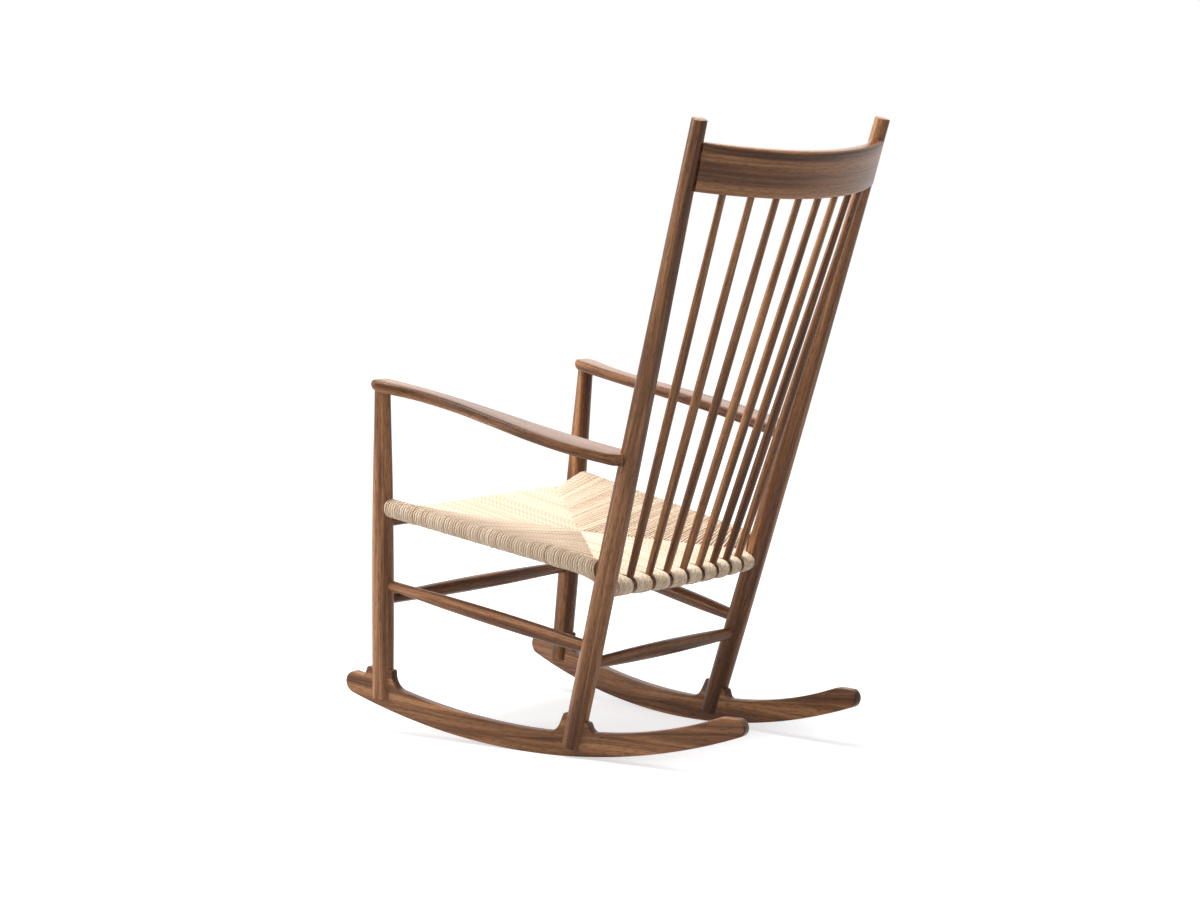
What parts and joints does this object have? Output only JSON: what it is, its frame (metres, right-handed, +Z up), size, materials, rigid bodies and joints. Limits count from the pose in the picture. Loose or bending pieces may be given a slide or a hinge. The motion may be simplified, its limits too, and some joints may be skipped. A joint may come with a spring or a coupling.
{
  "type": "rocking chair",
  "caption": "High-backed walnut rocking chair with turned posts, spindles, shaped arms, plank rockers and a woven paper cord seat.",
  "frame": {"origin": "centre of the bounding box on the floor, under the seat", "axes": "+X to the sitter's left, +Y to the chair's back, +Z up"},
  "size_m": [0.5852, 0.8338, 1.0731],
  "materials": {
    "walnut": "satin",
    "paper_cord": "matte"
  },
  "bodies": {
    "root": {"left_rocker": "walnut", "right_rocker": "walnut", "left_front_post": "walnut", "right_front_post": "walnut", "left_back_post": "walnut", "right_back_post": "walnut", "left_arm": "walnut", "right_arm": "walnut", "left_side_stretcher": "walnut", "right_side_stretcher": "walnut", "left_seat_rail": "walnut", "right_seat_rail": "walnut", "front_seat_rail": "walnut", "back_seat_rail": "walnut", "crest_rail": "walnut", "spindle_1": "walnut", "spindle_2": "walnut", "spindle_3": "walnut", "spindle_4": "walnut", "spindle_5": "walnut", "spindle_6": "walnut", "spindle_7": "walnut", "spindle_8": "walnut", "front_stretcher": "walnut", "back_stretcher": "walnut", "woven_seat": "paper_cord"}
  },
  "joints": []
}
